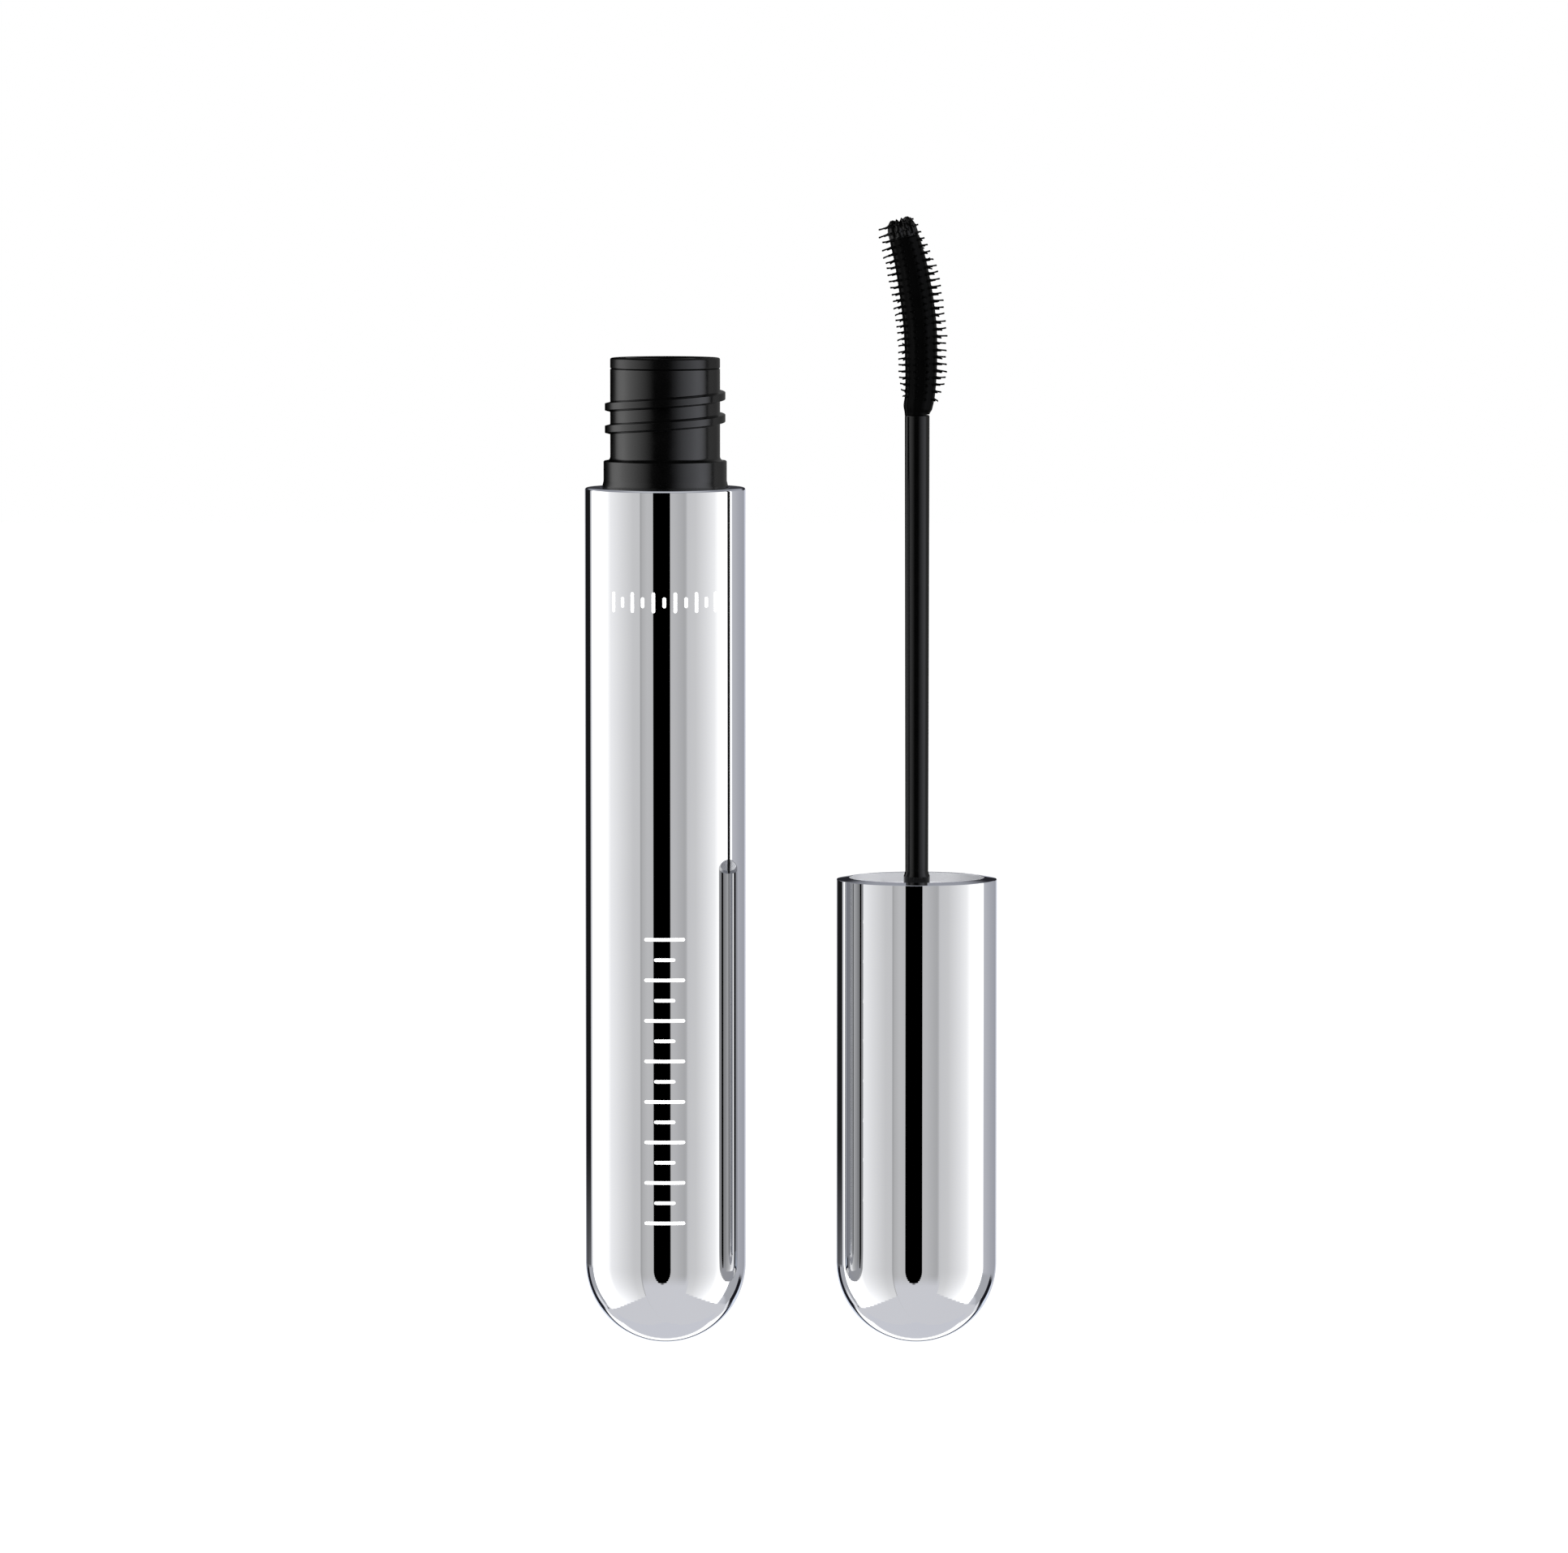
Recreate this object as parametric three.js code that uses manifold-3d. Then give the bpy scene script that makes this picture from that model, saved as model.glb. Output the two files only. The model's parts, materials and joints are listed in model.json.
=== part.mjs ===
// A mascara tube, open: the filled tube stands upright, and its cap stands on its dome beside it with the
// wand and brush pointing up. Millimetres, +Z up. The origin is on the tube's axis at its rounded base.
import * as THREE from 'three';
import { mergeVertices } from 'three/addons/utils/BufferGeometryUtils.js';
import Module from 'manifold-3d';

const wasm = await Module();
wasm.setup();

// ---- Driving dimensions ----
const BODY_R = 9;             // outside of the tube and of the cap
const TUBE_TOP = 96.2;        // shoulder of the tube
const CAP_LENGTH = 52.2;      // from the cap's mouth to the end of its dome
const AXIS_SPACING = 28.2;    // from the tube's axis to the cap's
const SHELL_WALL = 1;
const SHELL_GAP = 0.2;        // between a shell and the piece inside it
const FIT_GAP = 0.1;          // round pieces seated in one another
const SEAT_GAP = 0.3;         // pieces that meet face to face
const SEGMENTS = 32;
const ARC_STEPS = 7;

// The bottle's neck and its thread
const BOTTLE_WALL = 1.1;
const COLLAR_R = 6.9;
const COLLAR_HEIGHT = 3;
const NECK_R = 6.15;
const NECK_BORE_R = 4.9;
const NECK_TOP = TUBE_TOP + 14.5;
const FLANGE_HEIGHT = 1.2;    // of the wiper's ring, on top of the neck
const PITCH = 2.5;
const THREAD_DEPTH = 0.6;
const THREAD_ROOT = 1.1;      // width of the ridge where it leaves the neck
const THREAD_CREST = 0.8;
const THREAD_LOW = 6.5;       // height of the thread above the shoulder, on the -X side
const THREAD_FROM = 0.55 * Math.PI;
const THREAD_TO = 4.45 * Math.PI;

// The wiper
const LIP_R = 2;              // the hole that wipes the wand
const LIP_TOP = 100.5;
const LIP_BOTTOM = 97.4;

// The cap and what it holds
const LINER_START = 3.2;      // below the cap's mouth, clear of the bottle's collar
const LINER_BORE_R = 6.95;
const RIDGE_DEPTH = 0.6;
const RIDGE_ROOT = 0.8;
const RIDGE_CREST = 0.5;
const SEAL_HEIGHT = 1;
const SOCKET_DEPTH = 8;
const WEIGHT_R = 6;
const WEIGHT_HEIGHT = 10;
const WEIGHT_LOW = 11;        // height of the weight above the end of the dome
const SCREW_TURNS = 1.5;
const SCREW_TRAVEL = SCREW_TURNS * PITCH;

// The wand
const STEM_R = 1.4;
const STEM_TOP = 104.3;
const BRUSH_LENGTH = 22.3;
const SPIGOT_R = 0.8;
const SPIGOT_DEPTH = 5;
const BRISTLE_ROWS = 8;
const BRISTLE_STEP = 1;
const BRISTLE_LENGTH = 0.9;

// The fill
const FILL_TOP = 90;
const CHANNEL_R = 4.7;        // the wand's channel through the mascara
const BALL_R = 2;

// ---- Helpers ----
const point = (radius, height) => new THREE.Vector2(radius, height);

// Points of an arc in the lathe's half plane, from one angle to another in degrees.
function arc(centreR, centreZ, radius, fromDeg, toDeg, steps = ARC_STEPS) {
  const points = [];
  for (let i = 0; i <= steps; i += 1) {
    const angle = THREE.MathUtils.degToRad(fromDeg + ((toDeg - fromDeg) * i) / steps);
    const across = centreR + radius * Math.cos(angle);
    points.push(point(Math.abs(across) < 1e-9 ? 0 : across, centreZ + radius * Math.sin(angle)));
  }
  return points;
}

// A solid of revolution about +Z. The outline runs anticlockwise in the half plane of radius and height.
function turned(outline, segments = SEGMENTS) {
  const geometry = new THREE.LatheGeometry(outline, segments);
  geometry.rotateX(Math.PI / 2);
  return geometry;
}

// A closed ring-shaped section repeats its first point.
function closed(outline) {
  return [...outline, outline[0].clone()];
}

// A closed tube through rings that all have the same number of points.
function lofted(rings) {
  const count = rings[0].length;
  const positions = rings.flat().flatMap((p) => [p.x, p.y, p.z]);
  const indices = [];
  for (let i = 0; i + 1 < rings.length; i += 1) {
    for (let j = 0; j < count; j += 1) {
      const a = i * count + j;
      const b = i * count + ((j + 1) % count);
      indices.push(a, b, b + count, a, b + count, a + count);
    }
  }
  const last = (rings.length - 1) * count;
  for (let j = 1; j + 1 < count; j += 1) {
    indices.push(0, j + 1, j);
    indices.push(last, last + j, last + j + 1);
  }
  const geometry = new THREE.BufferGeometry();
  geometry.setAttribute('position', new THREE.Float32BufferAttribute(positions, 3));
  geometry.setIndex(indices);
  return geometry;
}

function toManifold(geometry) {
  const bare = geometry.clone();
  bare.deleteAttribute('normal');
  bare.deleteAttribute('uv');
  const merged = mergeVertices(bare, 1e-4);
  return new wasm.Manifold(new wasm.Mesh({
    numProp: 3,
    vertProperties: new Float32Array(merged.attributes.position.array),
    triVerts: new Uint32Array(merged.index.array),
  }));
}

function fromManifold(solid) {
  const mesh = solid.getMesh();
  const geometry = new THREE.BufferGeometry();
  geometry.setAttribute('position', new THREE.BufferAttribute(new Float32Array(mesh.vertProperties), 3));
  geometry.setIndex(new THREE.BufferAttribute(new Uint32Array(mesh.triVerts), 1));
  return geometry;
}

// A right-handed thread ridge. Its section is a trapezium from the root radius to the crest radius.
function threadRidge({ rootR, crestR, rootWidth, crestWidth, height, from, to }) {
  const steps = Math.ceil((to - from) / (Math.PI / 10));
  const rings = [];
  for (let i = 0; i <= steps; i += 1) {
    const angle = from + ((to - from) * i) / steps;
    const fade = Math.min(1, i / 2 + 0.2, (steps - i) / 2 + 0.2);
    const reach = rootR + (crestR - rootR) * fade;
    const section = [
      [rootR, -rootWidth / 2], [reach, -crestWidth / 2], [reach, crestWidth / 2], [rootR, rootWidth / 2],
    ];
    const z = height + (PITCH * angle) / (2 * Math.PI);
    rings.push(section.map(([r, up]) => new THREE.Vector3(r * Math.cos(angle), r * Math.sin(angle), z + up)));
  }
  if (crestR > rootR) rings.reverse();
  return lofted(rings);
}

function part(name, geometry, color, roughness, metalness) {
  const mesh = new THREE.Mesh(geometry, new THREE.MeshStandardMaterial({ color, roughness, metalness }));
  mesh.name = name;
  return mesh;
}

// ---- The tube ----
const shellInnerR = BODY_R - SHELL_WALL;
const bottleR = shellInnerR - SHELL_GAP;
const bottleInnerR = bottleR - BOTTLE_WALL;
const shoulderHoleR = COLLAR_R + SHELL_GAP;
const neckRim = NECK_TOP - FLANGE_HEIGHT - FIT_GAP;

// The chrome tube: a round base, a straight wall and a flat shoulder with a small edge radius.
function tubeShell() {
  const edge = 0.4;
  return turned([
    ...arc(0, BODY_R, BODY_R, -90, 0),
    ...arc(BODY_R - edge, TUBE_TOP - edge, edge, 0, 90, 3),
    point(shoulderHoleR, TUBE_TOP),
    point(shoulderHoleR, TUBE_TOP - SHELL_WALL),
    point(shellInnerR, TUBE_TOP - SHELL_WALL),
    ...arc(0, BODY_R, shellInnerR, 0, -90),
  ]);
}

// The bottle: its body fills the shell, and its collar, neck and thread stand above the shoulder.
function bottle() {
  const shoulder = TUBE_TOP - SHELL_WALL - SEAT_GAP;
  const collarTop = TUBE_TOP + COLLAR_HEIGHT;
  const soft = 0.25;
  const body = toManifold(turned([
    ...arc(0, BODY_R, bottleR, -90, 0),
    point(bottleR, shoulder),
    point(COLLAR_R, shoulder),
    point(COLLAR_R, collarTop - soft),
    point(COLLAR_R - soft, collarTop),
    point(NECK_R, collarTop),
    point(NECK_R, neckRim),
    point(NECK_BORE_R, neckRim),
    point(NECK_BORE_R, shoulder - BOTTLE_WALL),
    point(bottleInnerR, shoulder - 2 * BOTTLE_WALL),
    ...arc(0, BODY_R, bottleInnerR, 0, -90),
  ]));
  const thread = toManifold(threadRidge({
    rootR: NECK_R - 0.3,
    crestR: NECK_R + THREAD_DEPTH,
    rootWidth: THREAD_ROOT,
    crestWidth: THREAD_CREST,
    height: TUBE_TOP + THREAD_LOW - PITCH / 2,
    from: THREAD_FROM,
    to: THREAD_TO,
  }));
  return fromManifold(body.add(thread));
}

// The wiper: a ring on the neck's rim, a skirt inside the neck and a cone down to the wiping lip.
function wiper() {
  const skirtR = NECK_BORE_R - FIT_GAP;
  const wall = 0.7;
  return turned(closed([
    point(LIP_R, LIP_BOTTOM),
    point(LIP_R + wall, LIP_BOTTOM),
    point(skirtR, LIP_TOP),
    point(skirtR, neckRim + FIT_GAP),
    point(NECK_R, neckRim + FIT_GAP),
    point(NECK_R, NECK_TOP - 0.2),
    point(NECK_R - 0.2, NECK_TOP),
    point(skirtR - wall + 0.2, NECK_TOP),
    point(skirtR - wall, NECK_TOP - 0.3),
    point(skirtR - wall, LIP_TOP + wall),
    point(LIP_R, LIP_BOTTOM + wall),
  ]));
}

// The mascara: it fills the bottle round the channel that the wand leaves.
function mascaraFill() {
  const fillR = bottleInnerR - FIT_GAP;
  const lowR = (CHANNEL_R + fillR) / 2;
  const lowAngle = THREE.MathUtils.radToDeg(Math.acos(lowR / fillR));
  return turned(closed([
    point(CHANNEL_R, BODY_R),
    ...arc(0, BODY_R, fillR, -lowAngle, 0, 3),
    point(fillR, FILL_TOP),
    point(CHANNEL_R, FILL_TOP),
  ]));
}

// The mixing ball, just under the wiper.
function mixingBall() {
  return turned(arc(0, LIP_BOTTOM - BALL_R - SEAT_GAP, BALL_R, -90, 90), 16);
}

// ---- The cap, with its dome down: heights are above the end of the dome ----
const linerTop = CAP_LENGTH - LINER_START;
const linerR = shellInnerR - SHELL_GAP;
const boreFloor = CAP_LENGTH + SEAT_GAP - (NECK_TOP - TUBE_TOP) - SEAL_HEIGHT - 2 * FIT_GAP;
const socketFloor = boreFloor - SOCKET_DEPTH;

// The chrome cap: a dome, a straight wall and a rim bevelled towards the mouth.
function capShell() {
  const edge = 0.3;
  return turned([
    ...arc(0, BODY_R, BODY_R, -90, 0),
    ...arc(BODY_R - edge, CAP_LENGTH - edge, edge, 0, 90, 3),
    point(shellInnerR + 0.35, CAP_LENGTH),
    point(shellInnerR, CAP_LENGTH - 0.35),
    ...arc(0, BODY_R, shellInnerR, 0, -90),
  ]);
}

// The liner: a threaded bore for the neck, a web with the stem's socket, and a pocket for the weight.
function capLiner() {
  const web = 2;
  const bossR = 3.2;
  const pocketR = WEIGHT_R + 0.4;
  const pocketEnd = 9.5;
  const body = toManifold(turned([
    point(0, socketFloor - 1.2),
    point(bossR, socketFloor - 1.2),
    point(bossR, boreFloor - web),
    point(pocketR, boreFloor - web),
    point(pocketR, pocketEnd),
    point(linerR, pocketEnd),
    point(linerR, linerTop),
    point(LINER_BORE_R + 0.3, linerTop),
    point(LINER_BORE_R, linerTop - 0.3),
    point(LINER_BORE_R, boreFloor),
    point(STEM_R + FIT_GAP, boreFloor),
    point(STEM_R + FIT_GAP, socketFloor),
    point(0, socketFloor),
  ]));
  // Screwed home, the ridge runs half a pitch above the neck's thread. The cap stands upside down here, so
  // heights are counted from the closed cap's end and angles are mirrored across the Y axis.
  const closedEnd = TUBE_TOP + SEAT_GAP + CAP_LENGTH;
  const ridgeFrom = 2.5 * Math.PI;
  const ridgeTo = 4.4 * Math.PI;
  const ridge = toManifold(threadRidge({
    rootR: LINER_BORE_R + 0.25,
    crestR: LINER_BORE_R - RIDGE_DEPTH,
    rootWidth: RIDGE_ROOT,
    crestWidth: RIDGE_CREST,
    height: SCREW_TRAVEL + closedEnd - (TUBE_TOP + THREAD_LOW) - PITCH / 2,
    from: Math.PI - ridgeTo,
    to: Math.PI - ridgeFrom,
  }));
  return fromManifold(body.add(ridge));
}

// The seal: a soft ring on the stem, against the floor of the liner's bore.
function capSeal() {
  const low = boreFloor + FIT_GAP;
  return turned(closed([
    point(STEM_R + FIT_GAP, low),
    point(NECK_R, low),
    point(NECK_R, low + SEAL_HEIGHT),
    point(STEM_R + FIT_GAP, low + SEAL_HEIGHT),
  ]));
}

// The weight: a turned steel slug with bevelled edges.
function capWeight() {
  const bevel = 0.5;
  const top = WEIGHT_LOW + WEIGHT_HEIGHT;
  return turned([
    point(0, WEIGHT_LOW),
    point(WEIGHT_R - bevel, WEIGHT_LOW),
    point(WEIGHT_R, WEIGHT_LOW + bevel),
    point(WEIGHT_R, top - bevel),
    point(WEIGHT_R - bevel, top),
    point(0, top),
  ]);
}

// ---- The wand ----
// The stem: a straight rod from the liner's socket to the brush, bored at its end for the brush's spigot.
function stem() {
  const bevel = 0.2;
  const boreR = SPIGOT_R + FIT_GAP;
  return turned([
    point(0, socketFloor + FIT_GAP),
    point(STEM_R - bevel, socketFloor + FIT_GAP),
    point(STEM_R, socketFloor + FIT_GAP + bevel),
    point(STEM_R, STEM_TOP - bevel),
    point(STEM_R - bevel, STEM_TOP),
    point(boreR, STEM_TOP),
    point(boreR, STEM_TOP - SPIGOT_DEPTH - FIT_GAP),
    point(0, STEM_TOP - SPIGOT_DEPTH - FIT_GAP),
  ], 24);
}

// The brush's centre line bows towards +X and its tip leans back past the stem's axis.
const brushLow = STEM_TOP + SEAT_GAP / 2;
const centreLine = new THREE.CatmullRomCurve3([
  [0, 0], [0.03, 0.6], [0.3, 2.2], [0.45, 6], [0.45, 10.5], [-0.25, 16.3], [-1.05, 19.5], [-1.75, BRUSH_LENGTH],
].map(([across, up]) => new THREE.Vector3(across, 0, brushLow + up)), false, 'centripetal');

// Radius of the core along the centre line, from 0 at the stem to 1 at the tip.
function coreRadius(along) {
  const middle = 1.5 + 0.3 * Math.sin(Math.PI * along);
  const base = THREE.MathUtils.smoothstep(along, -0.04, 0.07);
  const tip = Math.sqrt(Math.max(0, 1 - ((along - 0.93) / 0.075) ** 2));
  return middle * (0.62 + 0.38 * base) * (along > 0.93 ? 0.35 + 0.65 * tip : 1);
}

function frameAt(along) {
  const centre = centreLine.getPointAt(along);
  const tangent = centreLine.getTangentAt(along);
  const side = new THREE.Vector3(tangent.z, 0, -tangent.x);
  return { centre, tangent, side, depth: new THREE.Vector3(0, 1, 0) };
}

function ringPoint(frame, radius, angle) {
  return frame.centre.clone()
    .addScaledVector(frame.side, radius * Math.cos(angle))
    .addScaledVector(frame.depth, radius * Math.sin(angle));
}

// One bristle: a three-sided spike that starts inside the core.
function bristle(along, angle, length) {
  const frame = frameAt(along);
  const outward = ringPoint(frame, 1, angle).sub(frame.centre);
  const across = new THREE.Vector3().crossVectors(frame.tangent, outward);
  const rootR = coreRadius(along) - 0.25;
  const section = (radius, half) => [0, 1, 2].map((k) => {
    const turn = (2 * Math.PI * k) / 3;
    return frame.centre.clone()
      .addScaledVector(outward, radius)
      .addScaledVector(across, half * Math.cos(turn))
      .addScaledVector(frame.tangent, half * Math.sin(turn));
  });
  return lofted([section(rootR, 0.2), section(rootR + 0.25 + length, 0.09)]);
}

function brush() {
  const sides = 14;
  const coreSteps = 22;
  const rings = [];
  for (let i = 0; i <= coreSteps; i += 1) {
    const along = i / coreSteps;
    const frame = frameAt(along);
    const ring = [];
    for (let j = 0; j < sides; j += 1) ring.push(ringPoint(frame, coreRadius(along), (2 * Math.PI * j) / sides));
    rings.push(ring);
  }
  const solids = [toManifold(lofted(rings))];
  solids.push(toManifold(turned([
    point(0, STEM_TOP - SPIGOT_DEPTH),
    point(SPIGOT_R, STEM_TOP - SPIGOT_DEPTH),
    point(SPIGOT_R, brushLow + 0.5),
    point(0, brushLow + 0.5),
  ], 12)));
  const total = centreLine.getLength();
  const perRow = Math.floor((total - 1.4) / BRISTLE_STEP);
  for (let row = 0; row < BRISTLE_ROWS; row += 1) {
    const angle = (2 * Math.PI * row) / BRISTLE_ROWS;
    for (let i = 0; i < perRow; i += 1) {
      const at = 1 + (i + 0.5 * (row % 2)) * BRISTLE_STEP;
      const grow = Math.min(1, 0.5 + i * 0.2, 0.55 + (perRow - 1 - i) * 0.15);
      solids.push(toManifold(bristle(at / total, angle, BRISTLE_LENGTH * grow)));
    }
  }
  return fromManifold(wasm.Manifold.union(solids));
}

// ---- Assembly ----
const CHROME = 0xdfe2e6;
const BLACK = 0x101113;

const tube = new THREE.Group();
tube.add(part('tube_shell', tubeShell(), CHROME, 0.04, 1));
tube.add(part('bottle', bottle(), BLACK, 0.4, 0));
tube.add(part('wiper', wiper(), BLACK, 0.45, 0));
tube.add(part('mascara_fill', mascaraFill(), 0x08080a, 0.3, 0));
tube.add(part('mixing_ball', mixingBall(), 0xc8cacc, 0.15, 1));

const applicator = new THREE.Group();
applicator.position.x = AXIS_SPACING;
applicator.add(part('cap_shell', capShell(), CHROME, 0.04, 1));
applicator.add(part('cap_liner', capLiner(), BLACK, 0.45, 0));
applicator.add(part('cap_seal', capSeal(), 0xd8d6d0, 0.6, 0));
applicator.add(part('cap_weight', capWeight(), 0xa9abad, 0.35, 1));
applicator.add(part('stem', stem(), BLACK, 0.35, 0));
applicator.add(part('brush', brush(), BLACK, 0.5, 0));

const mascara = new THREE.Group();
mascara.add(tube, applicator);

export default mascara;
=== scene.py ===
"""The looks of an open mascara: a mirror-chrome tube with a black threaded neck, and beside it, mouth up, its
chrome cap with the wand and a curved moulded brush. Everything is in metres."""

import json
import math
import random

import bpy
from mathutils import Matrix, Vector


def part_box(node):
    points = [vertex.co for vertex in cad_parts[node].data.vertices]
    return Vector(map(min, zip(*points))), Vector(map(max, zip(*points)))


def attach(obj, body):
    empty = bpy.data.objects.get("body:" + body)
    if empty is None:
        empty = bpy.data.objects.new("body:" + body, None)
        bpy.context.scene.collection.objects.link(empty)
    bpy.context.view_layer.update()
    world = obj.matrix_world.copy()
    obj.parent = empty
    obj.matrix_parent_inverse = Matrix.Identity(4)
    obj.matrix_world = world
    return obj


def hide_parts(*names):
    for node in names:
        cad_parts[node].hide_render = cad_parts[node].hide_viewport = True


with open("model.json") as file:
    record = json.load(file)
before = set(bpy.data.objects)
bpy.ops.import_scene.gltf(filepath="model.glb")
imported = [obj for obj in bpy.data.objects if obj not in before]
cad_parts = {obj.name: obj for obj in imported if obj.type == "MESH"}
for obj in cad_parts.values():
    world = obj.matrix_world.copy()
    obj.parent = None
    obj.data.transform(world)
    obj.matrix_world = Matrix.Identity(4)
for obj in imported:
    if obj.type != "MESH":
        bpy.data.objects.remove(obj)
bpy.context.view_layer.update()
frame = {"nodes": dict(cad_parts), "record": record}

MM = 0.001
TURN = 2 * math.pi

# ---- Sizes read from the frame ----
TUBE_LOW, TUBE_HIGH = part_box("tube_shell")
CAP_LOW, CAP_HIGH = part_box("cap_shell")
WIPER_LOW, WIPER_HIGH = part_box("wiper")
LINER_LOW, LINER_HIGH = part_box("cap_liner")
SEAL_LOW, SEAL_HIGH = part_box("cap_seal")
STEM_LOW, STEM_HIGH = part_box("stem")
BOTTLE_LOW, BOTTLE_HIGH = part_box("bottle")
BALL_LOW, BALL_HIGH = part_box("mixing_ball")

BODY_R = (TUBE_HIGH.x - TUBE_LOW.x) / 2
TUBE_X = (TUBE_HIGH.x + TUBE_LOW.x) / 2
CAP_X = (CAP_HIGH.x + CAP_LOW.x) / 2
SHOULDER = TUBE_HIGH.z
MOUTH = CAP_HIGH.z
NECK_R = (WIPER_HIGH.x - WIPER_LOW.x) / 2
NECK_TOP = WIPER_HIGH.z
BOTTLE_R = (BOTTLE_HIGH.x - BOTTLE_LOW.x) / 2
LINER_R = (LINER_HIGH.x - LINER_LOW.x) / 2
STEM_R = (STEM_HIGH.x - STEM_LOW.x) / 2

# ---- Sizes that the boxes don't give ----
SHELL_WALL = 1.0 * MM
BOTTLE_WALL = 1.1 * MM
COLLAR_R = 6.9 * MM
COLLAR_TOP = SHOULDER + 3 * MM
NECK_BORE_R = 4.9 * MM
FLANGE_HEIGHT = 1.2 * MM
LIP_R = 2 * MM
PITCH = 2.5 * MM
THREAD_DEPTH = 0.6 * MM
THREAD_HEIGHT = 6.5 * MM      # of the thread above the shoulder, on the -X side
THREAD_FROM = 0.275 * TURN
THREAD_TO = 2.225 * TURN
LINER_BORE_R = 6.95 * MM
LINER_FLOOR = SEAL_LOW.z - 0.1 * MM
SEAT_GAP = 0.3 * MM


# ---- Outlines and turned pieces ----
def rounded(corners, loop=False):
    """An outline of (radius, height) points from its corners. A corner's third number, if it has one, is the
    radius of the arc that takes its place."""
    points = []
    count = len(corners)
    for i, corner in enumerate(corners):
        here = Vector(corner[:2])
        radius = corner[2] if len(corner) > 2 else 0
        if radius <= 0 or (not loop and i in (0, count - 1)):
            points.append(here)
            continue
        back = (Vector(corners[i - 1][:2]) - here).normalized()
        ahead = (Vector(corners[(i + 1) % count][:2]) - here).normalized()
        half = back.angle(ahead) / 2
        centre = here + (back + ahead).normalized() * (radius / math.sin(half))
        start = here + back * (radius / math.tan(half)) - centre
        sweep = start.angle_signed(here + ahead * (radius / math.tan(half)) - centre)
        steps = max(5, min(64, round(abs(sweep) * radius / (0.2 * MM))))
        for k in range(steps + 1):
            turn = -sweep * k / steps
            points.append(centre + Vector((
                start.x * math.cos(turn) - start.y * math.sin(turn),
                start.x * math.sin(turn) + start.y * math.cos(turn),
            )))
    return supported(points, loop)


def supported(points, loop, reach=0.03 * MM):
    """Adds a point close to each end of every long straight stretch, so that smooth shading stays true."""
    result = []
    pairs = len(points) if loop else len(points) - 1
    for i in range(pairs):
        a, b = points[i], points[(i + 1) % len(points)]
        result.append(a)
        if (b - a).length > 5 * reach:
            along = (b - a).normalized() * reach
            result.append(a + along)
            result.append(b - along)
    if not loop:
        result.append(points[-1])
    return result


def new_mesh(name, vertices, faces):
    mesh = bpy.data.meshes.new(name)
    mesh.from_pydata(vertices, [], faces)
    mesh.validate()
    mesh.shade_smooth()
    piece = bpy.data.objects.new(name, mesh)
    bpy.context.scene.collection.objects.link(piece)
    return piece


def lathe(name, outline, axis_x, segments=192, loop=False, radius_at=None):
    """Turns an anticlockwise outline about the upright line at axis_x. radius_at(radius, height, angle) may
    move a point in or out, as a thread does."""
    vertices, rings, faces = [], [], []
    for radius, height in outline:
        if radius < 1e-7:
            rings.append([len(vertices)] * segments)
            vertices.append((axis_x, 0, height))
            continue
        rings.append(list(range(len(vertices), len(vertices) + segments)))
        for k in range(segments):
            angle = TURN * k / segments
            r = radius_at(radius, height, angle) if radius_at else radius
            vertices.append((axis_x + r * math.cos(angle), r * math.sin(angle), height))
    for i in range(len(rings) if loop else len(rings) - 1):
        low, high = rings[i], rings[(i + 1) % len(rings)]
        for k in range(segments):
            n = (k + 1) % segments
            face = [low[k], low[n], high[n], high[k]]
            faces.append(list(dict.fromkeys(face)))
    return new_mesh(name, vertices, faces)


def stepped(radius, start, end, step):
    """Points up or down a straight wall, close enough together to carry a thread."""
    count = max(1, round(abs(end - start) / step))
    return [(radius, start + (end - start) * k / count) for k in range(1, count)]


def smooth(value, low, high):
    t = min(1, max(0, (value - low) / (high - low)))
    return t * t * (3 - 2 * t)


# ---- Shading arithmetic ----
class Number:
    """A number in a node tree, so that a shading formula reads as arithmetic."""

    def __init__(self, tree, socket):
        self.tree = tree
        self.socket = socket

    def node(self, kind, **settings):
        made = self.tree.nodes.new(kind)
        for key, value in settings.items():
            setattr(made, key, value)
        return made

    def put(self, socket, value):
        if isinstance(value, Number):
            self.tree.links.new(value.socket, socket)
        else:
            socket.default_value = value

    def math(self, operation, *others):
        made = self.node("ShaderNodeMath", operation=operation)
        for i, value in enumerate((self, *others)):
            self.put(made.inputs[i], value)
        return Number(self.tree, made.outputs[0])

    def __add__(self, other):
        return self.math("ADD", other)

    def __sub__(self, other):
        return self.math("SUBTRACT", other)

    def __mul__(self, other):
        return self.math("MULTIPLY", other)

    def __truediv__(self, other):
        return self.math("DIVIDE", other)

    def above(self, edge, soft):
        """0 below edge and 1 above it, with a smooth step soft wide on either side."""
        made = self.node("ShaderNodeMapRange", interpolation_type="SMOOTHSTEP")
        self.put(made.inputs["Value"], self)
        self.put(made.inputs["From Min"], edge - soft)
        self.put(made.inputs["From Max"], edge + soft)
        return Number(self.tree, made.outputs[0])

    def below(self, edge, soft):
        return self.above(edge, soft) * -1 + 1


# ---- Stage ----
VIEW_WIDTH = 175.9 * MM
VIEW_CENTRE = Vector((13.3 * MM, 0, 63.75 * MM))
CAMERA_DISTANCE = 1100 * MM
CAMERA_HEIGHT = 145 * MM
SOFT_LIGHT_AT = (0.3, -1.5, 1.5)
FLOOR_CLEARANCE = 12 * MM     # between the floor and the cap at its lowest
FLOOR_REACH = 4               # from the object to the floor's edges


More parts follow.
